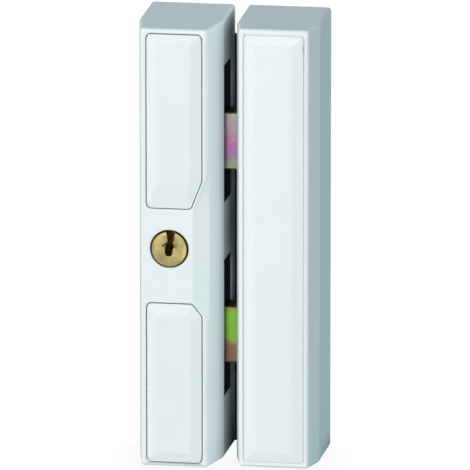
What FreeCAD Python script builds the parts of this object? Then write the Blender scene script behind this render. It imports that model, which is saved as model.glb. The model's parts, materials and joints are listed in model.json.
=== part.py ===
import FreeCAD, Part
import math
import os
import re

import Sketcher

# Keyed window lock: a tall narrow lock case whose key turns two swing bolts into a strike case beside it.
# Frame: +X from the lock towards the strike, -Y out of the mounting plane towards the room, +Z up.
# The origin is on the mounting plane, midway across the lock case, level with the key.
# A depth is a distance in front of the mounting plane, so depth d lies at y = -d.

DIMENSIONS = {
    # lock case
    "case_left": -14.4,
    "case_right": 14.15,
    "case_depth": 38.45,
    "front_left": -11.6,
    "front_right": 10.75,
    "case_side_depth": 23.8,
    "case_front_height": 150.0,
    "case_back_height": 151.7,
    "case_wall": 2.2,
    "case_inner_depth": 34.4,
    "case_inner_height": 145.8,
    "case_inner_front": 9.4,
    "hollow_margin": 0.3,
    "edge_round": 1.2,
    # bevel cut into the front right edge, level with the key
    "bevel_x": 6.05,
    "bevel_side_depth": 35.9,
    "bevel_strip": 0.7,
    "bevel_root_round": 1.3,
    # lip along the case's rear edge, on the side that faces the strike
    "lip_width": 1.0,
    "lip_thick": 1.5,
    "lip_top": 66.0,
    # screw caps on the front of the lock case
    "cap_left": -9.7,
    "cap_right": 9.1,
    "cap_corner_round": 1.6,
    "cap_gap": 0.3,
    "cap_seat_depth": 36.05,
    "cap_crown": 0.9,
    "crown_inset": 0.47,
    "cap_skin": 1.3,
    "cap_rim": 1.5,
    "cap_leg_length": 8.0,
    "cap_leg_thick": 1.3,
    "cap_leg_width": 5.0,
    "cap_leg_x": 4.0,
    "land_left": -6.0,
    "land_right": 5.25,
    "upper_cap_inner": 13.8,
    "upper_cap_outer": 73.3,
    "upper_cap_cut_x": 5.35,
    "upper_cap_cut_z": 23.4,
    "upper_land_inner": 22.0,
    "upper_land_outer": 70.5,
    "upper_leg_inner": 27.0,
    "upper_leg_outer": 56.0,
    "lower_cap_inner": 18.7,
    "lower_cap_outer": 73.6,
    "lower_cap_cut_x": 5.8,
    "lower_cap_cut_z": 22.9,
    "lower_land_inner": 23.0,
    "lower_land_outer": 70.0,
    "lower_leg_inner": 27.0,
    "lower_leg_outer": 42.0,
    # fixing holes
    "fixing_z": 67.0,
    "extra_fixing_z": 51.5,
    "fixing_hole_radius": 2.4,
    "well_outer_radius": 5.2,
    "well_inner_radius": 4.3,
    "well_floor_depth": 6.0,
    # back plate and its screws
    "plate_thick": 2.0,
    "plate_width": 23.5,
    "plate_height": 145.2,
    "plate_screw_x": 8.9,
    "plate_screw_z": 67.8,
    "plate_screw_radius": 1.3,
    "plate_screw_head": 2.6,
    "plate_screw_length": 11.0,
    "plate_boss_radius": 2.6,
    "plate_boss_depth": 15.0,
    # key cylinder
    "cylinder_x": -1.95,
    "case_bore_radius": 6.55,
    "plug_head_radius": 5.95,
    "plug_radius": 5.5,
    "plug_front": 38.7,
    "plug_shoulder": 35.5,
    "plug_back": 20.2,
    "running_gap": 0.05,
    "housing_radius": 7.25,
    "housing_front": 34.35,
    "housing_back": 21.0,
    "spigot_radius": 6.45,
    "spigot_front": 36.6,
    "tower_width": 5.4,
    "tower_bottom": 16.5,
    "chamber_radius": 1.2,
    "chamber_first": 32.6,
    "chamber_pitch": 3.0,
    "chamber_bottom": 15.0,
    "pin_radius": 1.15,
    "key_pin_bottom": 5.3,
    "key_pin_shortest": 2.9,
    "driver_top": 5.65,
    "driver_length": 3.6,
    "spring_wire": 0.2,
    "spring_pitch": 0.95,
    "lug_width": 12.0,
    "lug_top": 12.6,
    "lug_back": 30.4,
    "lug_screw_x": 3.3,
    "lug_screw_z": 9.9,
    "small_screw_radius": 1.2,
    "small_screw_head": 2.2,
    "tail_radius": 3.5,
    "tail_back": 9.95,
    "tenon_side": 3.6,
    "tenon_back": 7.5,
    # crank, link bar and their pins
    "crank_radius": 7.0,
    "crank_front": 9.9,
    "crank_back": 7.4,
    "crank_hub_radius": 4.4,
    "crank_arm_width": 5.2,
    "eye_radius": 2.7,
    "link_front": 7.2,
    "link_back": 4.7,
    "link_width": 4.6,
    "link_bend_above": 9.05,
    "link_bend_below": 9.45,
    "link_pin_radius": 1.8,
    "rivet_radius": 1.5,
    "pin_end": 3.2,
    "clip_back": 3.8,
    "clip_thick": 0.5,
    "clip_radius": 3.0,
    "clip_groove": 1.4,
    "pin_collar_radius": 2.8,
    # swing bolts and their pivots
    "pivot_x": 2.0,
    "pivot_z": 33.35,
    "bolt_half_height": 9.8,
    "bolt_reach": 27.5,
    "bolt_front": 20.0,
    "bolt_back": 10.4,
    "bolt_pin_hole_end": 15.0,
    "pivot_radius": 2.0,
    "pivot_shoulder_radius": 2.5,
    "pivot_front": 21.8,
    "washer_radius": 4.2,
    "washer_thick": 0.5,
    # bolt windows, measured from each pivot's height
    "window_above": 26.35,
    "window_below": 20.4,
    "window_front": 23.7,
    "window_back": 9.3,
    # strike case
    "strike_left": 18.6,
    "strike_width": 28.1,
    "strike_depth": 34.6,
    "strike_chamfer": 2.4,
    "strike_side_depth": 24.3,
    "strike_front_height": 150.2,
    "strike_back_height": 151.8,
    "strike_inner_depth": 32.0,
    "strike_inner_height": 146.4,
    "panel_margin": 3.65,
    "panel_height": 146.7,
    "panel_groove": 0.5,
    "panel_groove_depth": 0.5,
    "panel_edge": 0.45,
    "panel_corner_round": 0.8,
    "panel_crown_inset": 0.3,
    "panel_crown": 0.7,
    "panel_land_margin": 7.9,
    "panel_land_height": 139.6,
    # steel keep inside the strike case
    "keep_gap": 0.2,
    "keep_thick": 2.5,
    "keep_height": 145.6,
    "keep_flange_front": 23.6,
    "keep_window_above": 21.2,
    "keep_window_below": 10.8,
    "keep_window_front": 21.0,
    "keep_window_back": 9.6,
    "keep_web_reach": 8.0,
    "keep_web_front": 19.0,
    "strike_fixing_pitch": 62.0,
}

# Keyway outline: (sideways from the plug's axis, height above it). It stays open at the top of the plug.
KEYWAY = [(-1.25, 7), (-0.75, 4.4), (-0.45, 2.2), (-1.45, 0.2), (-1.45, -1.3), (-0.95, -2.45),
          (0.75, -2.45), (1.25, -1.2), (1.25, 2.2), (1.85, 3.8), (1.75, 7)]
# Corners of the tapered key entry: left, top, right, bottom.
KEY_ENTRY = [(-3.1, 1.0), (-0.3, 2.8), (3.6, 1.0), (-0.3, -0.8)]
# How much longer each key pin is than the shortest one, front to back.
KEY_PIN_STEPS = [0.6, 0.0, 0.9, 0.3]
CHAMBERS = range(4)

doc = FreeCAD.newDocument("keyed_window_lock")
ALIASES = re.compile(r"\b(" + "|".join(DIMENSIONS) + r")\b")
parts = []


def fill_sheet():
    """Put the driving dimensions in a spreadsheet, one aliased cell each."""
    sheet = doc.addObject("Spreadsheet::Sheet", "dims")
    for row, (alias, value) in enumerate(DIMENSIONS.items(), start=1):
        sheet.set(f"A{row}", alias)
        sheet.set(f"B{row}", str(value))
        sheet.setAlias(f"B{row}", alias)
    doc.recompute()


def bind(item, property_name, formula):
    """Drive a property with a formula written in the sheet's aliases."""
    item.setExpression(property_name, ALIASES.sub(r"dims.\1", str(formula)))


def part(item):
    """Mark a finished object as a piece of the lock."""
    parts.append(item)
    return item


def new_body(label, right="0", up="0"):
    body = doc.addObject("PartDesign::Body", label)
    body.Label = label
    bind(body, "Placement.Base.x", right)
    bind(body, "Placement.Base.z", up)
    return body


def feature(body, kind):
    return body.newObject(f"PartDesign::{kind}", f"{body.Label}_{kind.lower()}")


def add_polygon(sketch, corners):
    """Draw a closed outline whose corners are held by distances from the sketch's origin."""
    count = len(corners)
    first = sketch.GeometryCount
    guess = [FreeCAD.Vector(math.cos(2 * math.pi * i / count), math.sin(2 * math.pi * i / count), 0)
             for i in range(count)]
    for i in range(count):
        sketch.addGeometry(Part.LineSegment(guess[i], guess[(i + 1) % count]), False)
    for i in range(count):
        sketch.addConstraint(Sketcher.Constraint("Coincident", first + i, 2, first + (i + 1) % count, 1))
    for i, corner in enumerate(corners):
        for direction, formula in zip(("DistanceX", "DistanceY"), corner):
            index = sketch.addConstraint(Sketcher.Constraint(direction, -1, 1, first + i, 1, 1.0))
            bind(sketch, f"Constraints[{index}]", formula)


def add_circle(sketch, across, up, radius):
    circle = Part.Circle(FreeCAD.Vector(1, 1, 0), FreeCAD.Vector(0, 0, 1), 1)
    index = sketch.addGeometry(circle, False)
    for direction, formula in (("DistanceX", across), ("DistanceY", up)):
        number = sketch.addConstraint(Sketcher.Constraint(direction, -1, 1, index, 3, 1.0))
        bind(sketch, f"Constraints[{number}]", formula)
    number = sketch.addConstraint(Sketcher.Constraint("Radius", index, 1.0))
    bind(sketch, f"Constraints[{number}]", radius)


def origin_plane(body, role):
    return [item for item in body.Origin.OriginFeatures if item.Role == role][0]


def draw(body, role, offset, loops):
    """Sketch on one of the body's origin planes. A loop is a list of corners or a (x, y, radius) circle."""
    sketch = body.newObject("Sketcher::SketchObject", f"{body.Label}_sketch")
    sketch.AttachmentSupport = [(origin_plane(body, role), "")]
    sketch.MapMode = "FlatFace"
    bind(sketch, "AttachmentOffset.Base.z", offset)
    for loop in loops:
        if isinstance(loop, list):
            add_polygon(sketch, loop)
        else:
            add_circle(sketch, *loop)
    return sketch


def slab(body, back, front, *loops):
    """Add material between two depths."""
    pad = feature(body, "Pad")
    pad.Profile = draw(body, "XZ_Plane", back, loops)
    bind(pad, "Length", f"({front}) - ({back})")


def cut(body, back, front, *loops):
    """Take material away between two depths."""
    pocket = feature(body, "Pocket")
    pocket.Profile = draw(body, "XZ_Plane", front, loops)
    bind(pocket, "Length", f"({front}) - ({back})")


def through(body, kind, role, length, *loops):
    """Add or remove material evenly on both sides of an origin plane."""
    step = feature(body, kind)
    step.Profile = draw(body, role, "0", loops)
    step.Midplane = True
    bind(step, "Length", length)


def cut_from(body, role, start, length, *loops):
    """Cut from an offset plane back towards the origin plane."""
    pocket = feature(body, "Pocket")
    pocket.Profile = draw(body, role, start, loops)
    bind(pocket, "Length", length)


def loft(body, kind, back, front, back_loop, front_loop):
    step = feature(body, kind)
    step.Profile = draw(body, "XZ_Plane", back, [back_loop])
    step.Sections = [draw(body, "XZ_Plane", front, [front_loop])]
    step.Ruled = True


def edges_where(body, wanted):
    """Name the edges of the body's last feature that a test accepts."""
    doc.recompute()
    shape = body.Tip.Shape
    return body.Tip, [f"Edge{i}" for i, edge in enumerate(shape.Edges, start=1) if wanted(edge)]


def dress(body, kind, size, wanted):
    """Fillet or chamfer the edges that a test accepts."""
    base = edges_where(body, wanted)
    step = feature(body, kind)
    step.Base = base
    bind(step, "Radius" if kind == "Fillet" else "Size", size)


def rectangle(left, right, bottom, top):
    return [(left, bottom), (right, bottom), (right, top), (left, top)]


def middle(edge):
    return edge.CenterOfMass


def runs_along(edge, axis):
    """True for a straight edge parallel to an axis."""
    if len(edge.Vertexes) != 2:
        return False
    span = edge.Vertexes[1].Point - edge.Vertexes[0].Point
    return abs(abs(span.dot(axis)) - edge.Length) < 1e-4


DEPTH_AXIS = FreeCAD.Vector(0, 1, 0)
HEIGHT_AXIS = FreeCAD.Vector(0, 0, 1)


def turned(label, right, up, profile):
    """Turn a profile of (radius, depth) corners about an axis that runs front to back."""
    body = new_body(label, right, up)
    step = feature(body, "Revolution")
    step.Profile = draw(body, "XY_Plane", "0", [[(radius, f"-({depth})") for radius, depth in profile]])
    step.ReferenceAxis = (step.Profile[0], ["V_Axis"])
    step.Angle = 360
    return body


def group(label, master, places):
    """Repeat one piece at several (right, up) places and keep the copies as separate solids."""
    copies = []
    for right, up in places:
        copy = doc.addObject("App::Link", f"{label}_copy")
        copy.LinkedObject = master
        bind(copy, "Placement.Base.x", right)
        bind(copy, "Placement.Base.z", up)
        copies.append(copy)
    compound = doc.addObject("Part::Compound", label)
    compound.Label = label
    compound.Links = copies
    return part(compound)


def open_ring(label, right, up, back, thickness, outer, inner, mouth):
    """A flat spring ring with a mouth at its right-hand side."""
    body = new_body(label, right, up)
    slab(body, back, f"{back} + {thickness}", ("0", "0", outer), ("0", "0", inner))
    cut(body, f"{back} - 1", f"{back} + {thickness} + 1",
        rectangle("0", f"{outer} + 1", f"-({mouth}) / 2", f"({mouth}) / 2"))
    return body


# ---------------------------------------------------------------- shells


def shell_block(body, sides, front_sides, side_depth, depth, back_height, front_height):
    """The outer block of a case: chamfered front edges, and ends that draw in towards the front."""
    left, right = sides
    front_left, front_right = front_sides
    through(body, "Pad", "XY_Plane", f"{back_height} + 2",
            [(left, "0"), (left, f"-({side_depth})"), (front_left, f"-({depth})"),
             (front_right, f"-({depth})"), (right, f"-({side_depth})"), (right, "0")])
    draft = f"({back_height} - {front_height}) / 2 / {depth}"
    for sign in ("", "-"):
        past_back = f"{sign}({back_height} / 2 + {draft})"
        past_front = f"{sign}({front_height} / 2 - {draft})"
        clear = f"{sign}({back_height} / 2 + 4)"
        through(body, "Pocket", "YZ_Plane", "200",
                [("1", past_back), (f"-({depth}) - 1", past_front), (f"-({depth}) - 1", clear), ("1", clear)])


def cap_outline(side, sign, grow):
    """Outline of a cap, grown by an amount; its inner right corner is cut off at an angle."""
    grow = f"({grow})"
    inner, outer = f"{side}_cap_inner", f"{side}_cap_outer"
    cut_x, cut_z = f"{side}_cap_cut_x", f"{side}_cap_cut_z"
    run = f"(cap_right - {cut_x})"
    rise = f"({cut_z} - {inner})"
    slant = f"sqrt({run}^2 + {rise}^2)"
    right = f"cap_right + {grow}"
    left = f"cap_left - {grow}"
    return [(left, f"{sign}({outer} + {grow})"), (right, f"{sign}({outer} + {grow})"),
            (right, f"{sign}({cut_z} + {grow} * ({rise} - {slant}) / {run})"),
            (f"{cut_x} + {grow} * ({slant} - {run}) / {rise}", f"{sign}({inner} - {grow})"),
            (left, f"{sign}({inner} - {grow})")]


def land_outline(side, sign):
    inner, outer = f"{side}_land_inner", f"{side}_land_outer"
    return [("land_left", f"{sign}{outer}"), ("land_right", f"{sign}{outer}"),
            ("land_right", f"{sign}({inner} + 2)"), ("land_right - 1.1", f"{sign}{inner}"),
            ("land_left", f"{sign}{inner}")]


def leg_boxes(side, sign, spare):
    """Outlines of a cap's four legs, or of their slots when spare is more than zero."""
    half_thick = f"(cap_leg_thick / 2 + {spare})"
    half_width = f"(cap_leg_width / 2 + {spare})"
    return [rectangle(f"{x} - {half_thick}", f"{x} + {half_thick}",
                      f"{z} - {half_width}", f"{z} + {half_width}")
            for x in ("-cap_leg_x", "cap_leg_x")
            for z in (f"{sign}{side}_leg_inner", f"{sign}{side}_leg_outer")]


SIDES = (("upper", ""), ("lower", "-"))
FIXING_PLACES = [("0", "fixing_z"), ("0", "-fixing_z"), ("0", "-extra_fixing_z")]
PLATE_SCREW_PLACES = [(x, z) for x in ("plate_screw_x", "-plate_screw_x")
                      for z in ("plate_screw_z", "-plate_screw_z")]
LUG_SCREW_PLACES = [("cylinder_x + lug_screw_x", "lug_screw_z"), ("cylinder_x - lug_screw_x", "lug_screw_z")]
PIVOT_PLACES = [("pivot_x", "pivot_z"), ("pivot_x", "-pivot_z")]


def round_outside(body, depth):
    """Round the outer front edges and the edges around both ends of a case."""
    def wanted(edge):
        at = middle(edge)
        at_end = abs(at.z) > 70 and at.y < -1
        at_front = runs_along(edge, HEIGHT_AXIS) and abs(at.y + depth) < 0.01
        return at_end or at_front
    dress(body, "Fillet", "edge_round", wanted)


def bevel_end(side, sign, right):
    """Height of one end of the bevel: a line parallel to the cap's cut corner, outside its gap."""
    grow = "(cap_gap / 2 + bevel_strip)"
    run = f"(cap_right - {side}_cap_cut_x)"
    rise = f"({side}_cap_cut_z - {side}_cap_inner)"
    start = f"({side}_cap_cut_x + {grow} * (sqrt({run}^2 + {rise}^2) - {run}) / {rise})"
    return f"{sign}({side}_cap_inner - {grow} + ({right} - {start}) * {rise} / {run})"


def bevel_cutter():
    """What the bevel beside the key takes away: a sloping facet whose two ends curve up to the front."""
    body = new_body("bevel_cutter")
    left, right = "(bevel_x - 1)", "(case_right + 2)"
    slab(body, "bevel_side_depth - 3", "case_depth + 1",
         [(left, bevel_end("upper", "", left)), (right, bevel_end("upper", "", right)),
          (right, bevel_end("lower", "-", right)), (left, bevel_end("lower", "-", left))])
    drop = "(case_depth - bevel_side_depth)"
    chamfer = "(case_right - front_right) / (case_depth - case_side_depth)"
    slope = f"{drop} / (front_right + {drop} * {chamfer} - bevel_x)"

    def facet(x):
        return x, f"-case_depth + ({x} - bevel_x) * {slope}"
    past_left, past_right, behind = f"{left} - 1", f"{right} + 1", "-bevel_side_depth + 6"
    through(body, "Pocket", "XY_Plane", "case_back_height",
            [facet(past_left), facet(past_right), (past_right, behind), (past_left, behind)])

    def wanted(edge):
        span = edge.Vertexes[1].Point - edge.Vertexes[0].Point
        return min(abs(span.x), abs(span.y), abs(span.z)) > 1
    dress(body, "Fillet", "bevel_root_round", wanted)
    return body


def cavity(body, left, right, front, height, corners):
    """Hollow a case from behind; corners are the two front corners of the hollow, left then right."""
    (left_front, left_side), (right_front, right_side) = corners
    through(body, "Pocket", "XY_Plane", height,
            [(left, "1"), (left, f"-({left_side})"), (left_front, f"-({front})"),
             (right_front, f"-({front})"), (right, f"-({right_side})"), (right, "1")])


def bolt_windows(body, side, wall, above, below, back, front):
    """Two rectangular openings through a wall, one for each swing bolt."""
    loops = [rectangle(f"-({front})", f"-({back})", f"{pivot} - {below}", f"{pivot} + {above}")
             for pivot in ("pivot_z", "-pivot_z")]
    cut_from(body, "YZ_Plane", side, wall, *loops)


def lock_case():
    body = new_body("case_shell")
    shell_block(body, ("case_left", "case_right"), ("front_left", "front_right"), "case_side_depth",
                "case_depth", "case_back_height", "case_front_height")
    round_outside(body, DIMENSIONS["case_depth"])
    cavity(body, "case_left + case_wall", "case_right - case_wall", "case_inner_depth", "case_inner_height",
           [("-case_inner_front", "case_side_depth - hollow_margin"),
            ("case_inner_front", "case_side_depth - hollow_margin")])
    for side, sign in SIDES:
        cut(body, "cap_seat_depth", "case_depth + 1", cap_outline(side, sign, "cap_gap / 2"))
    dress(body, "Fillet", "cap_corner_round + cap_gap", lambda edge: (
        runs_along(edge, DEPTH_AXIS) and -38.5 < middle(edge).y < -36 and abs(middle(edge).x) < 10))
    for x, z in FIXING_PLACES:
        slab(body, "plate_thick", "cap_seat_depth", (x, z, "well_outer_radius"))
    for x, z in FIXING_PLACES:
        cut(body, "well_floor_depth", "cap_seat_depth", (x, z, "well_inner_radius"))
        cut(body, "0", "well_floor_depth", (x, z, "fixing_hole_radius"))
    for x, z in PLATE_SCREW_PLACES:
        outward = "case_left + 1" if x.startswith("-") else "case_right - 1"
        slab(body, "plate_thick", "plate_boss_depth",
             rectangle(x, outward, f"{z} - plate_boss_radius", f"{z} + plate_boss_radius"))
        slab(body, "plate_thick", "plate_boss_depth", (x, z, "plate_boss_radius"))
        cut(body, "0", "plate_boss_depth - 1", (x, z, "plate_screw_radius"))
    for side, sign in SIDES:
        cut(body, "case_inner_depth - 1", "cap_seat_depth", *leg_boxes(side, sign, "0.2"))
    cut(body, "case_inner_depth - 1", "case_depth + 1", ("cylinder_x", "0", "case_bore_radius"))
    for x, z in LUG_SCREW_PLACES:
        cut(body, "case_inner_depth - 1", "case_inner_depth + 2.8", (x, z, "small_screw_radius"))
    bolt_windows(body, "case_right + 1", "case_wall + 2", "window_above", "window_below",
                 "window_back", "window_front")
    slab(body, "0", "lip_thick", rectangle(
        "case_right - 0.5", "case_right + lip_width", "-case_front_height / 2", "lip_top"))
    case = doc.addObject("Part::Cut", "lock_case")
    case.Base = body
    case.Tool = bevel_cutter()
    return part(case)


def screw_cap(side, sign):
    """Snap-in cap over the fixing screws: a crowned skin with a rim and four legs behind it."""
    body = new_body(f"{side}_cap")
    inset = "-cap_gap / 2"
    slab(body, "cap_seat_depth", "case_depth", cap_outline(side, sign, inset))
    dress(body, "Fillet", "cap_corner_round", lambda edge: runs_along(edge, DEPTH_AXIS))
    loft(body, "AdditiveLoft", "case_depth", "case_depth + cap_crown",
         cap_outline(side, sign, f"{inset} - crown_inset"), land_outline(side, sign))
    cut(body, "cap_seat_depth", "case_depth - cap_skin + 0.4", cap_outline(side, sign, f"{inset} - cap_rim"))
    slab(body, "cap_seat_depth - cap_leg_length", "case_depth - 0.5", *leg_boxes(side, sign, "0"))
    return part(body)


def lock_back_plate():
    body = new_body("lock_back_plate")
    holes = [(x, z, "fixing_hole_radius") for x, z in FIXING_PLACES]
    holes += [(x, z, "pivot_radius") for x, z in PIVOT_PLACES]
    holes += [(x, z, "plate_screw_radius") for x, z in PLATE_SCREW_PLACES]
    slab(body, "0", "plate_thick",
         rectangle("-plate_width / 2", "plate_width / 2", "-plate_height / 2", "plate_height / 2"), *holes)
    dress(body, "Fillet", "1.5", lambda edge: runs_along(edge, DEPTH_AXIS) and abs(middle(edge).z) > 72)
    screw_x, rim = DIMENSIONS["plate_screw_x"], DIMENSIONS["plate_screw_radius"]
    dress(body, "Chamfer", "plate_screw_head - plate_screw_radius", lambda edge: (
        abs(middle(edge).y) < 0.01 and abs(abs(middle(edge).x) - screw_x) < 0.01
        and abs(edge.Length - 2 * math.pi * rim) < 0.1))
    return part(body)


def back_plate_screws():
    master = turned("plate_screw", "0", "0", [
        ("0", "0"), ("plate_screw_head", "0"),
        ("plate_screw_radius", "plate_screw_head - plate_screw_radius"),
        ("plate_screw_radius", "plate_screw_length"), ("0", "plate_screw_length + 1")])
    for long, short in (("1.7", "0.3"), ("0.3", "1.7")):
        cut(master, "-1", "0.8", rectangle(f"-{long}", long, f"-{short}", short))
    return group("back_plate_screws", master, PLATE_SCREW_PLACES)


# ---------------------------------------------------------------- key cylinder


def chamber_depths():
    return [f"chamber_first - {i} * chamber_pitch" for i in CHAMBERS]


def cylinder_housing():
    body = new_body("cylinder_housing", "cylinder_x")
    slab(body, "housing_back", "housing_front", ("0", "0", "housing_radius"))
    slab(body, "housing_front", "spigot_front", ("0", "0", "spigot_radius"))
    slab(body, "housing_back + 0.4", "housing_front - 0.2",
         rectangle("-tower_width / 2", "tower_width / 2", "-tower_bottom", "0"))
    slab(body, "lug_back", "housing_front", rectangle("-lug_width / 2", "lug_width / 2", "0", "lug_top"))
    dress(body, "Fillet", "2", lambda edge: runs_along(edge, DEPTH_AXIS) and middle(edge).z > 12)
    cut(body, "housing_back - 1", "spigot_front + 1", ("0", "0", "plug_radius + running_gap"))
    cut(body, "plug_shoulder - running_gap", "spigot_front + 1", ("0", "0", "plug_head_radius + running_gap"))
    through_chambers(body)
    for side in ("", "-"):
        cut(body, "lug_back - 1", "housing_front + 1",
            (f"{side}lug_screw_x", "lug_screw_z", "small_screw_radius + 0.1"))
    return part(body)


def through_chambers(body):
    """Drill the pin chambers upwards into the plug bore from below the tower."""
    pocket = feature(body, "Pocket")
    pocket.Profile = draw(body, "XY_Plane", "-tower_bottom - 1",
                          [("0", f"-({depth})", "chamber_radius") for depth in chamber_depths()])
    pocket.Reversed = True
    bind(pocket, "Length", "tower_bottom - 3")


def cylinder_plug():
    """The turning plug: a headed barrel, a clip groove, a tail and a square tenon for the crank."""
    body = turned("cylinder_plug", "cylinder_x", "0", [
        ("0", "plug_front"), ("plug_head_radius - 0.25", "plug_front"),
        ("plug_head_radius", "plug_front - 0.25"), ("plug_head_radius", "plug_shoulder"),
        ("plug_radius", "plug_shoulder"), ("plug_radius", "housing_back"),
        ("plug_radius - 0.7", "housing_back"), ("plug_radius - 0.7", "housing_back - 0.6"),
        ("plug_radius - 0.2", "housing_back - 0.6"), ("plug_radius - 0.2", "plug_back"),
        ("tail_radius", "plug_back"), ("tail_radius", "tail_back"), ("0", "tail_back")])
    half = "tenon_side / 2"
    slab(body, "tenon_back", "tail_back", rectangle(f"-{half}", half, f"-{half}", half))
    cut(body, "housing_back + 1", "plug_front + 1", KEYWAY_LOOP)
    loft(body, "SubtractiveLoft", "plug_front - 1.3", "plug_front + 0.1", entry_loop(0.2), entry_loop(1.0))
    pocket = feature(body, "Pocket")
    pocket.Profile = draw(body, "XY_Plane", "-7",
                          [("0", f"-({depth})", "chamber_radius") for depth in chamber_depths()])
    pocket.Reversed = True
    bind(pocket, "Length", "6")
    cut(body, "tenon_back - 1", "tail_back + 6", ("0", "0", "small_screw_radius"))
    return part(body)


KEYWAY_LOOP = [(str(x), str(z)) for x, z in KEYWAY]


def entry_loop(scale):
    """The key entry's diamond, drawn in towards its middle by a scale."""
    middle_x = sum(x for x, _ in KEY_ENTRY) / 4
    middle_z = sum(z for _, z in KEY_ENTRY) / 4
    return [(str(middle_x + scale * (x - middle_x)), str(middle_z + scale * (z - middle_z)))
            for x, z in KEY_ENTRY]


def upright(label, radius, top, length, depth):
    """A small cylinder that stands upright in a pin chamber."""
    pin = doc.addObject("Part::Cylinder", label)
    bind(pin, "Radius", radius)
    bind(pin, "Height", length)
    bind(pin, "Placement.Base.x", "cylinder_x")
    bind(pin, "Placement.Base.y", f"-({depth})")
    bind(pin, "Placement.Base.z", f"{top} - {length}")
    return pin


def tipped_pin(label, top, length, depth):
    """A pin with a small bevel round its upper end."""
    pin = upright(label, "pin_radius", top, length, depth)
    doc.recompute()
    edges = pin.Shape.Edges
    highest = max(range(len(edges)), key=lambda index: middle(edges[index]).z)
    bevelled = doc.addObject("Part::Chamfer", f"{label}_tipped")
    bevelled.Base = pin
    bevelled.Edges = [(highest + 1, 0.35, 0.35)]
    return bevelled


def compound(label, items):
    item = doc.addObject("Part::Compound", label)
    item.Label = label
    item.Links = items
    return part(item)


def pin_stacks():
    """Key pins, driver pins and springs, standing with every pair of pins parted at the shear line."""
    key_pins, drivers, springs = [], [], []
    for depth, step in zip(chamber_depths(), KEY_PIN_STEPS):
        length = f"(key_pin_shortest + {step})"
        key_pins.append(tipped_pin("key_pin", f"(-key_pin_bottom + {length})", length, depth))
        drivers.append(upright("driver_pin", "pin_radius", "-driver_top", "driver_length", depth))
        springs.append(spring(depth))
    compound("key_pins", key_pins)
    compound("driver_pins", drivers)
    compound("pin_springs", springs)


def spring(depth):
    """A round wire swept along a helix below a driver pin."""
    coil = "(pin_radius - spring_wire - 0.05)"
    space = "(chamber_bottom - driver_top - driver_length - 2 * spring_wire - 0.1)"
    helix = doc.addObject("Part::Helix", "spring_helix")
    bind(helix, "Radius", coil)
    bind(helix, "Pitch", "spring_pitch")
    bind(helix, "Height", space)
    wire = doc.addObject("Part::Circle", "spring_wire_section")
    bind(wire, "Radius", "spring_wire")
    wire.Placement = FreeCAD.Placement(FreeCAD.Vector(), FreeCAD.Rotation(FreeCAD.Vector(1, 0, 0), 90))
    bind(wire, "Placement.Base.x", coil)
    sweep = doc.addObject("Part::Sweep", "pin_spring")
    sweep.Sections = [wire]
    sweep.Spine = (helix, [])
    sweep.Solid = True
    sweep.Frenet = True
    bind(sweep, "Placement.Base.x", "cylinder_x")
    bind(sweep, "Placement.Base.y", f"-({depth})")
    bind(sweep, "Placement.Base.z", "-chamber_bottom + spring_wire + 0.05")
    return sweep


def pin_chamber_cover():
    """The strip that closes the bottom of the pin chambers: four plugs on a plate under the tower."""
    body = new_body("pin_chamber_cover", "cylinder_x")
    slab(body, "housing_back + 0.4", "housing_front - 0.2",
         rectangle("-tower_width / 2", "tower_width / 2", "-tower_bottom - 0.8", "-tower_bottom"))
    pad = feature(body, "Pad")
    pad.Profile = draw(body, "XY_Plane", "-tower_bottom",
                       [("0", f"-({depth})", "chamber_radius - 0.02") for depth in chamber_depths()])
    bind(pad, "Length", "tower_bottom - chamber_bottom")
    return part(body)


def small_screw(label, right, up, back, front):
    """A pan-head machine screw whose head is at the back and whose shank points to the front."""
    body = turned(label, right, up, [
        ("0", back), ("small_screw_head - 0.4", back), ("small_screw_head", f"{back} + 0.4"),
        ("small_screw_head", f"{back} + 1.4"), ("small_screw_radius - 0.02", f"{back} + 1.4"),
        ("small_screw_radius - 0.02", front), ("0", front)])
    for long, short in (("1.3", "0.25"), ("0.25", "1.3")):
        cut(body, f"{back} - 1", f"{back} + 0.7", rectangle(f"-{long}", long, f"-{short}", short))
    return body


# ---------------------------------------------------------------- crank and link


CRANK_OFFSET = "crank_radius * sqrt(0.5)"


def drive_crank():
    """Arm on the plug's tail that carries the link bar's pin, up and to the left of the key."""
    body = new_body("drive_crank", "cylinder_x")
    flank = "crank_arm_width / 2 * sqrt(0.5)"
    slab(body, "crank_back", "crank_front", ("0", "0", "crank_hub_radius"))
    slab(body, "crank_back", "crank_front",
         [(flank, flank), (f"-{CRANK_OFFSET} + {flank}", f"{CRANK_OFFSET} + {flank}"),
          (f"-{CRANK_OFFSET} - {flank}", f"{CRANK_OFFSET} - {flank}"), (f"-{flank}", f"-{flank}")])
    slab(body, "crank_back", "crank_front", (f"-{CRANK_OFFSET}", CRANK_OFFSET, "eye_radius"))
    half = "tenon_side / 2"
    cut(body, "crank_back - 1", "crank_front + 1", rectangle(f"-{half}", half, f"-{half}", half))
    cut(body, "crank_back - 1", "crank_front + 1", (f"-{CRANK_OFFSET}", CRANK_OFFSET, "rivet_radius"))
    return part(body)


def crank_pin():
    return part(turned("crank_pin", f"cylinder_x - {CRANK_OFFSET}", CRANK_OFFSET,
                       [("0", "crank_front"), ("rivet_radius", "crank_front"), ("rivet_radius", "crank_back"),
                        *pin_journal("crank_back")]))


def pin_journal(collar_back):
    """The rear end shared by all three link pins: a bearing, a clip groove and a rounded end."""
    clip_front = "clip_back + clip_thick"
    return [("link_pin_radius", collar_back), ("link_pin_radius", clip_front), ("clip_groove", clip_front),
            ("clip_groove", "clip_back"), ("link_pin_radius", "clip_back"),
            ("link_pin_radius", "pin_end + 0.2"), ("link_pin_radius - 0.2", "pin_end"), ("0", "pin_end")]


def link_pin_clip(label, right, up):
    return part(open_ring(label, right, up, "clip_back", "clip_thick", "clip_radius", "clip_groove", "2"))


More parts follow.
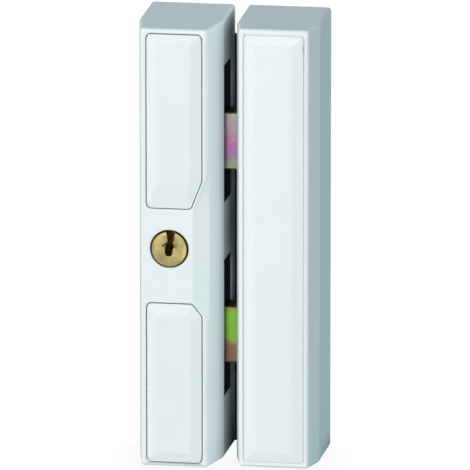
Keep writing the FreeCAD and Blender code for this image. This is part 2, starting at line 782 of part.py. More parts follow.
def link_bar():
    """Flat bar that keeps both bolts turning with the key; it bends round the end of the plug's tail."""
    body = new_body("link_bar")
    eye_x = f"(pivot_x - {CRANK_OFFSET})"
    crank_x = f"(cylinder_x - {CRANK_OFFSET})"
    heights = {"top": f"(pivot_z + {CRANK_OFFSET})", "bottom": f"(-pivot_z + {CRANK_OFFSET})"}
    above = f"({CRANK_OFFSET} + link_bend_above)"
    below = f"({CRANK_OFFSET} - link_bend_below)"
    half = "link_width / 2"
    line = [(eye_x, heights["top"]), (crank_x, above), (crank_x, below), (eye_x, heights["bottom"])]
    slab(body, "link_back", "link_front",
         [(f"{x} + {half}", z) for x, z in line] + [(f"{x} - {half}", z) for x, z in reversed(line)])
    eyes = [(eye_x, heights["top"]), (crank_x, CRANK_OFFSET), (eye_x, heights["bottom"])]
    for x, z in eyes:
        slab(body, "link_back", "link_front", (x, z, "eye_radius"))
    for x, z in eyes:
        cut(body, "link_back - 1", "link_front + 1", (x, z, "link_pin_radius + 0.06"))
    return part(body)


# ---------------------------------------------------------------- swing bolts


def swing_bolt(label, pivot):
    """Thick flat bolt with a round hub; its tip is an arc about the pivot, so it swings clear."""
    body = new_body(label, "pivot_x", pivot)
    slab(body, "bolt_back", "bolt_front", ("0", "0", "bolt_half_height"))
    slab(body, "bolt_back", "bolt_front",
         rectangle("0", "bolt_reach", "-bolt_half_height", "bolt_half_height"))
    cut(body, "bolt_back - 1", "bolt_front + 1", ("0", "0", "bolt_reach"),
        rectangle("-40", "40", "-40", "40"))
    reach = DIMENSIONS["bolt_reach"]
    dress(body, "Fillet", "1.5", lambda edge: (
        runs_along(edge, DEPTH_AXIS) and (middle(edge) - body.Placement.Base).x > reach / 2))
    dress(body, "Chamfer", "0.5", lambda edge: (
        not runs_along(edge, DEPTH_AXIS) and (middle(edge) - body.Placement.Base).x > 5))
    cut(body, "bolt_back - 1", "bolt_front + 1", ("0", "0", "pivot_radius + running_gap"))
    cut(body, "bolt_back - 1", "bolt_pin_hole_end", (f"-{CRANK_OFFSET}", CRANK_OFFSET, "link_pin_radius"))
    return part(body)


def bolt_pin(label, pivot):
    return part(turned(label, f"pivot_x - {CRANK_OFFSET}", f"{pivot} + {CRANK_OFFSET}", [
        ("0", "bolt_pin_hole_end"), ("link_pin_radius", "bolt_pin_hole_end"),
        ("link_pin_radius", "bolt_back"),
        ("pin_collar_radius", "bolt_back"), ("pin_collar_radius", "crank_back"), *pin_journal("crank_back")]))


def pivot_pins():
    washer_front = "bolt_front + 0.1 + washer_thick"
    clip_front = f"{washer_front} + clip_thick"
    master = turned("pivot_pin", "0", "0", [
        ("0", "0"), ("pivot_radius", "0"), ("pivot_radius", "plate_thick"),
        ("pivot_shoulder_radius", "plate_thick"), ("pivot_shoulder_radius", "bolt_back - 0.1"),
        ("pivot_radius", "bolt_back - 0.1"), ("pivot_radius", washer_front),
        ("clip_groove", washer_front), ("clip_groove", clip_front), ("pivot_radius", clip_front),
        ("pivot_radius", "pivot_front - 0.3"), ("pivot_radius - 0.3", "pivot_front"), ("0", "pivot_front")])
    group("pivot_pins", master, PIVOT_PLACES)
    washer = new_body("pivot_washer")
    slab(washer, "bolt_front + 0.1", washer_front, ("0", "0", "washer_radius"), ("0", "0", "pivot_radius"))
    group("pivot_washers", washer, PIVOT_PLACES)
    clip = open_ring("pivot_clip", "0", "0", washer_front, "clip_thick",
                     "clip_radius + 0.4", "clip_groove", "2")
    group("pivot_clips", clip, PIVOT_PLACES)


# ---------------------------------------------------------------- strike


STRIKE_CENTRE = "(strike_left + strike_width / 2)"
STRIKE_RIGHT = "(strike_left + strike_width)"
STRIKE_FIXINGS = [(STRIKE_CENTRE, z) for z in ("strike_fixing_pitch", "0", "-strike_fixing_pitch")]


def strike_cover():
    """Cover of the strike case, with a crowned panel moulded into its front."""
    body = new_body("strike_cover")
    shell_block(body, ("strike_left", STRIKE_RIGHT),
                ("strike_left + strike_chamfer", f"{STRIKE_RIGHT} - strike_chamfer"), "strike_side_depth",
                "strike_depth", "strike_back_height", "strike_front_height")
    round_outside(body, DIMENSIONS["strike_depth"])
    inner_left, inner_right = "strike_left + case_wall", f"{STRIKE_RIGHT} - case_wall"
    cavity(body, inner_left, inner_right, "strike_inner_depth", "strike_inner_height",
           [(f"{inner_left} + strike_chamfer", "strike_side_depth - hollow_margin"),
            (f"{inner_right} - strike_chamfer", "strike_side_depth - hollow_margin")])
    front_panel(body)
    bolt_windows(body, "strike_left + case_wall + 1", "case_wall + 2", "window_above", "window_below",
                 "window_back", "window_front")
    return part(body)


def front_panel(body):
    """A crowned panel in the front of the strike cover, with a groove all round it."""
    floor = "strike_depth - panel_groove_depth"
    groove, half_height = DIMENSIONS["panel_groove"], DIMENSIONS["panel_height"] / 2

    def corners(height):
        return lambda edge: (
            runs_along(edge, DEPTH_AXIS) and middle(edge).y < -DIMENSIONS["strike_inner_depth"]
            and abs(abs(middle(edge).z) - height) < 0.01)
    cut(body, floor, "strike_depth + 1", panel("panel_margin", "panel_height"))
    dress(body, "Fillet", "panel_corner_round + panel_groove", corners(half_height))
    slab(body, f"{floor} - 0.1", f"{floor} + panel_edge",
         panel("panel_margin + panel_groove", "panel_height - 2 * panel_groove"))
    dress(body, "Fillet", "panel_corner_round", corners(half_height - groove))
    loft(body, "AdditiveLoft", f"{floor} + panel_edge", "strike_depth + panel_crown",
         panel("panel_margin + panel_groove + panel_crown_inset",
               "panel_height - 2 * (panel_groove + panel_crown_inset)"),
         panel("panel_land_margin", "panel_land_height"))


def panel(margin, height):
    return rectangle(f"strike_left + {margin}", f"{STRIKE_RIGHT} - ({margin})",
                     f"-({height}) / 2", f"({height}) / 2")


def strike_keep():
    """Folded steel keep: a base that is screwed down and a flange with a window for each bolt."""
    body = new_body("strike_keep")
    left = "(strike_left + case_wall + keep_gap)"
    right = "(strike_left + strike_width - case_wall - keep_gap)"
    flange = f"{left} + keep_thick"
    half = "keep_height / 2"
    holes = [(x, z, "fixing_hole_radius") for x, z in STRIKE_FIXINGS]
    slab(body, "0", "keep_thick", rectangle(left, right, f"-{half}", half), *holes)
    slab(body, "0", "keep_flange_front", rectangle(left, flange, f"-{half} + 6", f"{half} - 6"))
    bolt_windows(body, f"{flange} + 1", "keep_thick + 2", "keep_window_above", "keep_window_below",
                 "keep_window_back", "keep_window_front")
    for height in ("9", "-9", "57", "-48"):
        web = feature(body, "Pad")
        web.Profile = draw(body, "XY_Plane", height, [[
            (f"{flange} - 0.5", "-keep_thick + 0.5"), (f"{flange} + keep_web_reach", "-keep_thick + 0.5"),
            (f"{flange} + keep_web_reach", "-keep_thick - 1"), (flange, "-keep_web_front"),
            (f"{flange} - 0.5", "-keep_web_front")]])
        web.Midplane = True
        web.Length = 2
    dress(body, "Fillet", "3", lambda edge: (
        runs_along(edge, DEPTH_AXIS) and abs(middle(edge).z) > 72 and middle(edge).x > 40))
    return part(body)


def check_and_export():
    """Stop on any failed object, then write one STEP file for each piece."""
    doc.recompute()
    for item in doc.Objects:
        if "Invalid" in item.State or "Error" in item.State:
            raise RuntimeError(f"{item.Label} failed: {item.State}")
    for item in parts:
        if item.Shape.isNull() or not item.Shape.isValid():
            raise RuntimeError(f"{item.Label} has no valid shape")
    os.makedirs("parts", exist_ok=True)
    for item in parts:
        item.Shape.exportStep(f"parts/{item.Label}.step")


def build():
    fill_sheet()
    lock_case()
    for side, sign in SIDES:
        screw_cap(side, sign)
    lock_back_plate()
    back_plate_screws()
    cylinder_housing()
    cylinder_plug()
    pin_stacks()
    pin_chamber_cover()
    part(open_ring("plug_clip", "cylinder_x", "0", "housing_back - 0.55", "0.5", "plug_radius + 1.1",
                   "plug_radius - 0.7", "6"))
    screw = small_screw("lug_screw", "0", "0", "lug_back - 1.4", "case_inner_depth + 2.6")
    group("cylinder_screws", screw, LUG_SCREW_PLACES)
    drive_crank()
    part(small_screw("crank_screw", "cylinder_x", "0", "crank_back - 1.4", "tail_back + 5"))
    crank_pin()
    link_pin_clip("crank_pin_clip", f"cylinder_x - {CRANK_OFFSET}", CRANK_OFFSET)
    link_bar()
    for side, sign in SIDES:
        pivot = f"{sign}pivot_z"
        swing_bolt(f"{side}_bolt", pivot)
        bolt_pin(f"{side}_bolt_pin", pivot)
        link_pin_clip(f"{side}_bolt_pin_clip", f"pivot_x - {CRANK_OFFSET}", f"{pivot} + {CRANK_OFFSET}")
    pivot_pins()
    strike_cover()
    strike_keep()
    check_and_export()


build()
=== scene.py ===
import json
import math

import bmesh
import bpy
import numpy as np
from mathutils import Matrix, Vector


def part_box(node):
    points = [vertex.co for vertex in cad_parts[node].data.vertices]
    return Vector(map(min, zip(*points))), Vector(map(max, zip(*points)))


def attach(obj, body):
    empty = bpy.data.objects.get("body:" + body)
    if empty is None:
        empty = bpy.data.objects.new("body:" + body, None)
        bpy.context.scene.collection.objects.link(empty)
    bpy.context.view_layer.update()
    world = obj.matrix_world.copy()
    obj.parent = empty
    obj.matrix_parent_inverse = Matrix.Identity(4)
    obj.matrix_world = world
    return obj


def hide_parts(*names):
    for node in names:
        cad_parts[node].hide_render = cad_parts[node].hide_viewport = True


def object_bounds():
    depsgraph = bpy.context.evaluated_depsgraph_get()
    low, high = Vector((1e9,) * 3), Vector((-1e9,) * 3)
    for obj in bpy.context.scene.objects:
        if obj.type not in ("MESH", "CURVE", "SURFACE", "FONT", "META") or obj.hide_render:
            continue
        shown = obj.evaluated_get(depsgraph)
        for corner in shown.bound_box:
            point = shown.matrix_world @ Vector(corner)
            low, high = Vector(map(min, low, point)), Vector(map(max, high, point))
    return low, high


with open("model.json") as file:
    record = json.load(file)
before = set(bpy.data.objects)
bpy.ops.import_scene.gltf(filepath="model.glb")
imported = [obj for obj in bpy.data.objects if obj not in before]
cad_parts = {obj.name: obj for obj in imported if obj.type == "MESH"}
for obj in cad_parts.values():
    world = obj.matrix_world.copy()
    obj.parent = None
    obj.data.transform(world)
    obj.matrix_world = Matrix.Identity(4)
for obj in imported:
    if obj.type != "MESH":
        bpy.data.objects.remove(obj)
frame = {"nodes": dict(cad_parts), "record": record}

# Looks of the keyed window lock: satin white cases, matt white caps, a brass key cylinder,
# yellow-chromated swing bolts and zinc-plated hardware.
# Lengths are metres; MM turns millimetres into metres.

MM = 0.001
UP = Vector((0, 0, 1))
nodes = frame["nodes"]
record = frame["record"]
body_of_node = {node: body for body, members in record["behaviour"]["bodies"].items() for node in members}
slot_of_node = {part["node"]: part["material_slot"] for part in record["subparts"]}
cad_low, cad_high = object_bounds()
centre = (cad_low + cad_high) / 2

plug_low, plug_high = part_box("cylinder_plug")
PLUG_RADIUS = (plug_high.x - plug_low.x) / 2
KEY_AXIS = Vector((plug_low.x + PLUG_RADIUS, 0, plug_low.z + PLUG_RADIUS))
# Painted shade: its near-black colour, the depths over which it grows on the chamfer and in the gap, and the
# widths of gap it fills.
PAINTED_SHADE = (0.012, 0.018, 0.020)
CASE_FRONT, CHAMFER_FOOT = -38 * MM, -22 * MM
GAP_MOUTH, GAP_END = -24 * MM, -6 * MM
WIDE_GAP, FINE_GROOVE = 12 * MM, 0.8 * MM


# ---------------------------------------------------------------- material building


class Graph:
    """Nodes being added to a shader tree. A value is a socket, a number, or a tuple."""

    def __init__(self, tree):
        self.tree = tree

    def add(self, kind, inputs=None, **properties):
        node = self.tree.nodes.new(kind)
        for name, value in properties.items():
            setattr(node, name, value)
        for name, value in (inputs or {}).items():
            self.feed(node, name, value)
        return node

    def feed(self, node, name, value):
        socket = node.inputs[name]
        if isinstance(value, bpy.types.NodeSocket):
            self.tree.links.new(value, socket)
        elif socket.type == "RGBA":
            socket.default_value = (*value, 1)
        else:
            socket.default_value = value

    def maths(self, operation, first, second=0.0):
        return self.add("ShaderNodeMath", {0: first, 1: second}, operation=operation).outputs[0]

    def vectors(self, operation, first, second=(0, 0, 0)):
        return self.add("ShaderNodeVectorMath", {0: first, 1: second}, operation=operation)

    def span(self, value, low, high, start=0.0, end=1.0):
        """Turn a value that runs from start to end into one that runs from low to high."""
        return self.add("ShaderNodeMapRange", {
            "Value": value, "From Min": start, "From Max": end, "To Min": low, "To Max": high}).outputs[0]

    def mix(self, share, first, second):
        """A colour between two others."""
        node = self.add("ShaderNodeMix", data_type="RGBA")
        self.feed(node, 0, share)
        self.feed(node, 6, first)
        self.feed(node, 7, second)
        return node.outputs[2]

    def seen_by_camera(self):
        return self.add("ShaderNodeLightPath").outputs["Is Camera Ray"]


class Finish(Graph):
    """A material being built round one Principled shader.
    Its patterns are in metres, in the part's frame."""

    def __init__(self, name, **inputs):
        self.material = bpy.data.materials.new(name)
        self.material.use_nodes = True
        super().__init__(self.material.node_tree)
        self.shader = self.tree.nodes["Principled BSDF"]
        place = self.add("ShaderNodeTexCoord").outputs
        self.place, self.normal = place["Object"], place["Normal"]
        for socket, value in inputs.items():
            self.feed(self.shader, socket.replace("_", " "), value)

    def shade(self, name, value):
        """Drive one input of the Principled shader."""
        self.feed(self.shader, name, value)

    def stretched(self, stretch):
        """The pattern's place, stretched along the axes so that a pattern can run in one direction."""
        return self.add("ShaderNodeMapping", {"Vector": self.place, "Scale": stretch}).outputs[0]

    def noise(self, size, detail=2.0, place=None, warp=0.0):
        """Soft noise from 0 to 1, whose patches are about this size."""
        return self.add("ShaderNodeTexNoise", {
            "Vector": place or self.place, "Scale": 1 / size, "Detail": detail,
            "Distortion": warp}).outputs["Fac"]

    def ramp(self, value, stops):
        """Colours along a value: stops are (position, colour)."""
        node = self.add("ShaderNodeValToRGB", {"Fac": value})
        elements = node.color_ramp.elements
        while len(elements) < len(stops):
            elements.new(0.5)
        for element, (position, colour) in zip(elements, stops):
            element.position = position
            element.color = (*colour, 1)
        return node.outputs["Color"]

    def openness(self, distance):
        """1 on open surfaces, towards 0 in corners and gaps narrower than the distance."""
        return self.add("ShaderNodeAmbientOcclusion", {"Distance": distance}, samples=8).outputs["AO"]

    def painted_gap_shade(self):
        """How much painted shade a white surface gets: none in the open, a little in the fine grooves, and
        most between the two cases, behind their chamfers. The painted shade takes the sheen away too."""
        across = self.add("ShaderNodeSeparateXYZ", {"Vector": self.place}).outputs["Y"]
        chamfer = self.maths("POWER", self.span(across, 0, 0.8, CASE_FRONT, CHAMFER_FOOT), 3.0)
        deeper = self.maths("ADD", chamfer, self.span(across, 0, 0.5, GAP_MOUTH, GAP_END))
        wide = self.maths("MULTIPLY", self.span(self.openness(WIDE_GAP), 1, 0, 0.15, 0.80), deeper)
        narrow = self.span(self.openness(FINE_GROOVE), 0.35, 0, 0.1, 0.62)
        shade_amount = self.maths("MINIMUM", self.maths("MAXIMUM", wide, narrow), 1.0)
        self.shade("Specular IOR Level", self.span(shade_amount, 0.5, 0, 0, 0.7))
        return shade_amount

    def bump(self, height, depth):
        node = self.add("ShaderNodeBump", {"Height": height, "Distance": depth})
        self.shade("Normal", node.outputs["Normal"])

    def radius_from_key(self):
        """Distance from the key cylinder's axis."""
        offset = self.vectors("SUBTRACT", self.place, KEY_AXIS).outputs[0]
        flat = self.vectors("MULTIPLY", offset, (1, 0, 1)).outputs[0]
        return self.vectors("LENGTH", flat).outputs["Value"]


# ---------------------------------------------------------------- materials


def powder_coat():
    """White powder coat on the two cases: satin, with faint orange peel, slight mottling and painted shade in
    grooves and the gap.
    """
    coat = Finish("white_powder_coat", Metallic=0.0, IOR=1.5)
    mottle = coat.noise(14 * MM, 3)
    peel = coat.noise(1.5 * MM, 2)
    fine = coat.noise(0.35 * MM, 2)
    clean = coat.mix(mottle, (0.800, 0.830, 0.836), (0.835, 0.858, 0.862))
    speckled = coat.mix(coat.span(fine, 0, 0.25), clean, (0.77, 0.80, 0.81))
    # Painted shade darkens the coat in the fine grooves and deep in the gap between the cases.
    coat.shade("Base Color", coat.mix(coat.painted_gap_shade(), speckled, PAINTED_SHADE))
    coat.shade("Roughness", coat.span(peel, 0.36, 0.48))
    relief = coat.maths("ADD", peel, coat.maths("MULTIPLY", fine, 0.25))
    coat.bump(relief, 0.010 * MM)
    return coat.material


def cap_plastic():
    """White moulded plastic of the screw caps: finer and more matt than the coated cases."""
    plastic = Finish("white_cap_plastic", Metallic=0.0, IOR=1.47)
    cloud = plastic.noise(18 * MM, 2)
    grain = plastic.noise(0.45 * MM, 3)
    clean = plastic.mix(cloud, (0.775, 0.822, 0.830), (0.800, 0.838, 0.845))
    # Painted shade darkens the plastic in the grooves round the caps.
    plastic.shade("Base Color", plastic.mix(plastic.painted_gap_shade(), clean, PAINTED_SHADE))
    plastic.shade("Roughness", plastic.span(grain, 0.40, 0.56))
    plastic.bump(grain, 0.008 * MM)
    return plastic.material


def shaded_bare_casting():
    """Uncoated inside of a die-cast case: bare zinc with a sandy skin, given a near-black colour and no sheen
    as painted shade for the hollow.
    """
    casting = Finish("bare_zinc_in_painted_shade", Metallic=0.0, Specular_IOR_Level=0.1)
    sand = casting.noise(0.6 * MM, 4)
    flow = casting.noise(9 * MM, 3, warp=1.5)
    # Painted shade: the bare zinc inside is coloured near black.
    casting.shade("Base Color", casting.mix(flow, (0.010, 0.014, 0.016), (0.024, 0.030, 0.033)))
    casting.shade("Roughness", casting.span(sand, 0.55, 0.75))
    casting.bump(sand, 0.03 * MM)
    return casting.material


def turned_brass():
    """Brass with turning rings round the key axis, warmer patches, and dark brown painted shade in the
    corners and the keyway.
    """
    brass = Finish("turned_brass", Metallic=1.0, Anisotropic=0.55)
    radius = brass.radius_from_key()
    rings = brass.add("ShaderNodeTexNoise", {"W": radius, "Scale": 1 / (0.16 * MM), "Detail": 2.0},
                      noise_dimensions="1D").outputs["Fac"]
    patches = brass.noise(3.2 * MM, 3, warp=0.8)
    gold = brass.mix(brass.span(patches, 0, 1, 0.3, 0.7), (0.40, 0.30, 0.10), (0.72, 0.55, 0.22))
    worn = brass.mix(brass.span(rings, 0, 0.35), gold, (0.78, 0.63, 0.32))
    # Painted shade: the brass turns dark brown in corners and down the keyway.
    hollow_shade = brass.span(brass.openness(2.5 * MM), 1, 0, 0.25, 0.85)
    brass.shade("Base Color", brass.mix(hollow_shade, worn, (0.10, 0.062, 0.02)))
    brass.shade("Roughness", brass.span(patches, 0.26, 0.40))
    brass.shade("Tangent", brass.add("ShaderNodeTangent", direction_type="RADIAL", axis="Y").outputs[0])
    brass.bump(rings, 0.004 * MM)
    return brass.material


def yellow_chromate(node, bands):
    """Yellow-passivated zinc on a swing bolt: its film changes colour in uneven bands from bottom to top,
    over a fine cold-rolled grain. Faces that look upwards get painted shade, nearly black."""
    zinc = Finish(f"{node}_chromate", Metallic=1.0)
    low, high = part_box(node)
    height = zinc.add("ShaderNodeSeparateXYZ", {"Vector": zinc.place}).outputs["Z"]
    share = zinc.span(height, 0, 1, low.z, high.z)
    patches = zinc.span(zinc.noise(4.0 * MM, 3, warp=0.6), -0.38, 0.38)
    rolled = zinc.noise(0.5 * MM, 3, zinc.stretched((0.15, 1, 1)))
    film = zinc.ramp(zinc.maths("ADD", share, patches), bands)
    grained = zinc.mix(zinc.span(rolled, 0, 0.16), film, (0.34, 0.32, 0.25))
    # Painted shade: faces looking upwards turn nearly black.
    facing = zinc.add("ShaderNodeSeparateXYZ", {"Vector": zinc.normal}).outputs["Z"]
    zinc.shade("Base Color", zinc.mix(zinc.span(facing, 0, 1, 0.6, 0.95), grained, (0.02, 0.02, 0.015)))
    zinc.shade("Roughness", zinc.span(rolled, 0.30, 0.46))
    zinc.bump(rolled, 0.006 * MM)
    return zinc.material


def plated_steel(name, dark, light, grain, roughness):
    """Zinc-plated steel: a crystal mottling under fine scratches."""
    steel = Finish(name, Metallic=1.0)
    crystals = steel.noise(grain, 3, warp=0.6)
    scratches = steel.noise(0.35 * MM, 2, steel.stretched((1, 1, 0.12)))
    tone = steel.mix(crystals, dark, light)
    steel.shade("Base Color", steel.mix(steel.span(scratches, 0, 0.2), tone, light))
    steel.shade("Roughness", steel.span(scratches, roughness - 0.05, roughness + 0.12))
    steel.bump(scratches, 0.004 * MM)
    return steel.material


FINISHES = {
    "white_case": powder_coat(),
    "white_cap": cap_plastic(),
    "brass": turned_brass(),
    "zinc_steel": plated_steel("bright_zinc_plate", (0.42, 0.44, 0.47), (0.62, 0.65, 0.68), 3.5 * MM, 0.30),
    "screw_steel": plated_steel("screw_plate", (0.44, 0.45, 0.46), (0.66, 0.67, 0.68), 1.2 * MM, 0.24),
    "spring_steel": plated_steel("spring_steel", (0.16, 0.16, 0.17), (0.30, 0.30, 0.31), 1.5 * MM, 0.32),
}
BARE = shaded_bare_casting()
CHROMATES = {
    "upper_bolt": yellow_chromate("upper_bolt", [
        (0.00, (0.30, 0.56, 0.20)), (0.12, (0.33, 0.36, 0.24)), (0.26, (0.40, 0.23, 0.40)),
        (0.40, (0.54, 0.18, 0.48)), (0.54, (0.60, 0.20, 0.42)), (0.68, (0.46, 0.34, 0.38)),
        (0.84, (0.46, 0.38, 0.40)), (1.00, (0.46, 0.52, 0.30))]),
    "lower_bolt": yellow_chromate("lower_bolt", [
        (0.00, (0.24, 0.17, 0.11)), (0.22, (0.34, 0.15, 0.10)), (0.38, (0.36, 0.31, 0.08)),
        (0.52, (0.30, 0.53, 0.06)), (0.76, (0.26, 0.68, 0.04)), (0.90, (0.28, 0.58, 0.05)),
        (1.00, (0.46, 0.34, 0.10))]),
}


def finish_of(node):
    return CHROMATES.get(node) or FINISHES[slot_of_node[node]]


# ---------------------------------------------------------------- refined meshes


SAME_PLACE = 0.004 * MM
FACET_ANGLE = math.radians(3)
SHARP_ANGLE = math.radians(25)
BROAD_FACE = 0.45 * MM
SHARE_OF_FACE = 0.35
ALMOST_STRAIGHT = math.cos(math.radians(50))
ROUND_SEGMENTS = 3
LONGEST_EDGE = 3 * MM
OUTSIDE_LEEWAY = 1.5 * MM


def room_beside(edge, face):
    """How far a face reaches from one of its edges, on average. A face of many corners may be narrower."""
    area = face.calc_area()
    reach = area / edge.calc_length()
    if len(face.verts) <= 4:
        return reach
    return min(reach, 2 * area / sum(side.calc_length() for side in face.edges))


def edge_round(edge, size):
    """How far an edge may be rounded without reaching past its narrower face."""
    angle = edge.calc_face_angle(0)
    room = min(room_beside(edge, face) for face in edge.link_faces)
    wanted = angle > SHARP_ANGLE or (angle > FACET_ANGLE and room > BROAD_FACE)
    return min(size, SHARE_OF_FACE * room) if wanted else 0.0


def even_out(rounds):
    """Give edges that follow on from each other in almost one line the same rounding, the smaller one."""
    queue = list(rounds)
    while queue:
        edge = queue.pop()
        for vertex in edge.verts:
            along = (edge.other_vert(vertex).co - vertex.co).normalized()
            for other in vertex.link_edges:
                if not 0 < rounds[edge] < rounds[other]:
                    continue
                if along.dot((other.other_vert(vertex).co - vertex.co).normalized()) < -ALMOST_STRAIGHT:
                    rounds[other] = rounds[edge]
                    queue.append(other)


def split_long_edges(shape):
    """Split long edges, so that every triangle meets a rounded edge at a steep angle."""
    for edge in list(shape.edges):
        parts = math.ceil(edge.calc_length() / LONGEST_EDGE)
        for left in range(parts, 1, -1):
            bmesh.utils.edge_split(edge, edge.verts[0], 1 / left)


def refined(node, size, rule=None, inner=None):
    """A copy of a CAD node whose edges are rounded. It stands for the node and rides on its body.
    rule(edge) may give an edge a larger size. inner(face) is true where the case is bare inside."""
    mesh = bpy.data.meshes.new(f"{node}_refined")
    shape = bmesh.new()
    shape.from_mesh(nodes[node].data)
    bmesh.ops.remove_doubles(shape, verts=shape.verts, dist=SAME_PLACE)
    bmesh.ops.dissolve_limit(shape, angle_limit=math.radians(0.5), verts=shape.verts, edges=shape.edges)
    shape.normal_update()
    weights = shape.edges.layers.float.new("bevel_weight_edge")
    rounds = {edge: max(edge_round(edge, size), rule(edge) if rule else 0.0) for edge in shape.edges}
    even_out(rounds)
    widest = max(rounds.values())
    for edge, amount in rounds.items():
        edge[weights] = amount / widest
    split_long_edges(shape)
    bmesh.ops.triangulate(shape, faces=shape.faces, quad_method="BEAUTY", ngon_method="BEAUTY")
    for face in shape.faces:
        face.smooth = True
        face.material_index = 1 if inner and inner(face) else 0
    shape.to_mesh(mesh)
    shape.free()
    for name in [item.name for item in mesh.attributes if item.name == "custom_normal"]:
        mesh.attributes.remove(mesh.attributes[name])
    mesh.materials.append(finish_of(node))
    if inner:
        mesh.materials.append(BARE)
    piece = bpy.data.objects.new(f"{node}_finished", mesh)
    bpy.context.scene.collection.objects.link(piece)
    bevel = piece.modifiers.new("edges", "BEVEL")
    bevel.limit_method = "WEIGHT"
    bevel.width = widest
    bevel.segments = ROUND_SEGMENTS
    bevel.use_clamp_overlap = False
    bevel.loop_slide = False
    piece.modifiers.new("normals", "WEIGHTED_NORMAL").keep_sharp = True
    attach(piece, body_of_node[node])
    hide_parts(node)
    return piece


def hollow(node, floor):
    """A test for faces in a case's hollow: deeper than this from its front, and not on its outside."""
    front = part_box(node)[0].y
    corners = np.array([vertex.co for vertex in nodes[node].data.vertices])

    def test(face):
        middle = face.calc_center_median()
        beyond = (corners @ np.array(face.normal)).max() - middle.dot(face.normal)
        return middle.y > front + floor and beyond > OUTSIDE_LEEWAY
    return test


def bevel_rule(edge):
    """Softer rounding on the long edges of the bevel beside the key."""
    ends = [vertex.co for vertex in edge.verts]
    upright = abs((ends[1] - ends[0]).normalized().dot(UP)) > 0.99
    beside_key = 5 * MM < ends[0].x < 8 * MM and ends[0].y < -34 * MM and edge.calc_length() > 20 * MM
    return 0.9 * MM if upright and beside_key and edge.calc_face_angle(0) > FACET_ANGLE else 0.0


lock_case = refined("lock_case", 0.28 * MM, bevel_rule, hollow("lock_case", 3.8 * MM))
refined("strike_cover", 0.28 * MM, None, hollow("strike_cover", 2.9 * MM))
for node in ("upper_cap", "lower_cap"):
    refined(node, 0.3 * MM)
for node in ("upper_bolt", "lower_bolt"):
    refined(node, 0.25 * MM)
for node in ("cylinder_plug", "cylinder_housing"):
    refined(node, 0.08 * MM)
for node in ("lock_back_plate", "strike_keep", "back_plate_screws", "drive_crank", "link_bar"):
    refined(node, 0.15 * MM)
for node, obj in nodes.items():
    if not obj.hide_render:
        obj.data.materials.clear()
        obj.data.materials.append(finish_of(node))


# ---------------------------------------------------------------- stage, light and camera


LIGHT_DISTANCE = 2.4
WARM_WHITE, COOL_WHITE = (1.0, 0.90, 0.88), (0.78, 0.97, 1.0)
BACKDROP_GLOW = 1.02
FLOOR_RADIUS = 7.0
FLOOR_CLEARANCE = 0.1 * MM
FLOOR_CORNERS = 96


def pale_floor():
    """A plain pale sheet under the part. The camera sees it glowing evenly, with a soft painted shadow at the
    contact.
    """
    sheet = bmesh.new()
    bmesh.ops.create_circle(sheet, cap_ends=True, segments=FLOOR_CORNERS, radius=FLOOR_RADIUS)
    mesh = bpy.data.meshes.new("floor")
    sheet.to_mesh(mesh)
    sheet.free()
    floor = bpy.data.objects.new("floor", mesh)
    floor.location = (centre.x, centre.y, cad_low.z - FLOOR_CLEARANCE)
    bpy.context.scene.collection.objects.link(floor)
    look = Finish("pale_floor", Roughness=0.9)
    look.shade("Base Color", look.mix(look.noise(0.3), (0.60, 0.70, 0.72), (0.62, 0.72, 0.74)))
    # Painted shadow: the floor's glow dims where the part stands close to it.
    shade = look.span(look.openness(25 * MM), 0.94, 1.04, 0.5, 0.95)
    glow = look.add("ShaderNodeEmission", {"Strength": shade})
    both = look.add("ShaderNodeMixShader")
    look.feed(both, 0, look.seen_by_camera())
    look.feed(both, 1, look.shader.outputs["BSDF"])
    look.feed(both, 2, glow.outputs["Emission"])
    look.feed(look.tree.nodes["Material Output"], "Surface", both.outputs[0])
    mesh.materials.append(look.material)


def direction(azimuth, elevation):
    """From the part towards a place seen at this azimuth, from the front towards the right, and elevation."""
    side, rise = math.radians(azimuth), math.radians(elevation)
    return Vector((math.sin(side) * math.cos(rise), -math.cos(side) * math.cos(rise), math.sin(rise)))


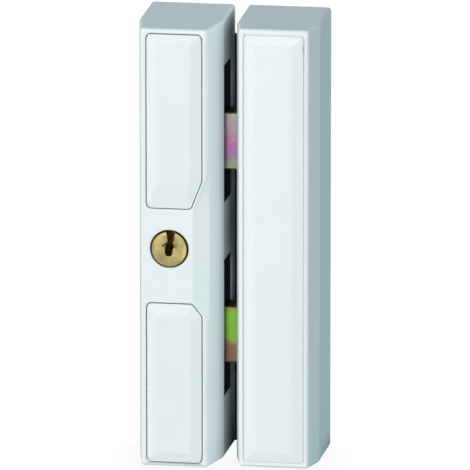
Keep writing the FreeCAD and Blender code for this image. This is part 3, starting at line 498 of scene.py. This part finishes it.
def soft_box(name, azimuth, elevation, width, height, power, colour, only=None):
    """A rectangular light that faces the part. It may light one piece alone, and cast only its shadows."""
    lamp = bpy.data.lights.new(name, "AREA")
    lamp.shape = "RECTANGLE"
    lamp.size = width
    lamp.size_y = height
    lamp.energy = power
    lamp.color = colour
    holder = bpy.data.objects.new(name, lamp)
    towards = direction(azimuth, elevation)
    holder.location = centre + towards * LIGHT_DISTANCE
    holder.rotation_euler = (-towards).to_track_quat("-Z", "Y").to_euler()
    holder.visible_camera = False
    bpy.context.scene.collection.objects.link(holder)
    if only:
        alone = bpy.data.collections.new(f"{name}_subject")
        alone.objects.link(only)
        holder.light_linking.receiver_collection = alone
        holder.light_linking.blocker_collection = alone


def studio():
    """Soft lights left of the camera and in front, in a room that is brighter in front of the part than
    behind. A third lights the lock case alone, as if the strike were not in its way, to brighten the side
    of the case that faces the gap."""
    soft_box("key_light", -48, 10, 1.3, 1.8, 30, WARM_WHITE)
    soft_box("front_light", 3, 10, 1.3, 1.8, 30, WARM_WHITE)
    soft_box("gap_light", 104, 8, 1.0, 1.5, 17, COOL_WHITE, lock_case)
    world = bpy.data.worlds.new("studio")
    world.use_nodes = True
    room = Graph(world.node_tree)
    sky = room.tree.nodes["Background"]
    towards = room.add("ShaderNodeTexCoord").outputs["Generated"]
    axes = room.add("ShaderNodeSeparateXYZ", {"Vector": towards}).outputs
    ahead = room.span(axes["Y"], 0.44, 0.22, -1, 1)
    right = room.span(axes["X"], 0, 0.30, 0.3, 1)
    overhead = room.span(axes["Z"], 0, 0.16, 0.2, 1)
    glow = room.maths("ADD", room.maths("ADD", ahead, right), overhead)
    room.feed(sky, "Strength", room.span(room.seen_by_camera(), glow, BACKDROP_GLOW))
    colour = room.mix(room.span(axes["Z"], 0, 1), (0.74, 0.98, 0.99), (0.72, 0.95, 1.06))
    room.feed(sky, "Color", colour)
    bpy.context.scene.world = world
    bpy.context.scene.view_settings.view_transform = "Standard"


CAMERA_AZIMUTH = 9.25
CAMERA_ELEVATION = 13.7
CAMERA_DISTANCE = 3.07
CAMERA_LENS = 702.0
AIM_OFFSET = Vector((0.95, 0.7, 0.9)) * MM


def camera():
    lens = bpy.data.cameras.new("camera")
    lens.lens = CAMERA_LENS
    lens.clip_start = 0.1
    lens.clip_end = 30.0
    holder = bpy.data.objects.new("camera", lens)
    towards = direction(CAMERA_AZIMUTH, CAMERA_ELEVATION)
    holder.location = centre + AIM_OFFSET + towards * CAMERA_DISTANCE
    holder.rotation_euler = (-towards).to_track_quat("-Z", "Y").to_euler()
    bpy.context.scene.collection.objects.link(holder)
    bpy.context.scene.camera = holder


pale_floor()
studio()
camera()
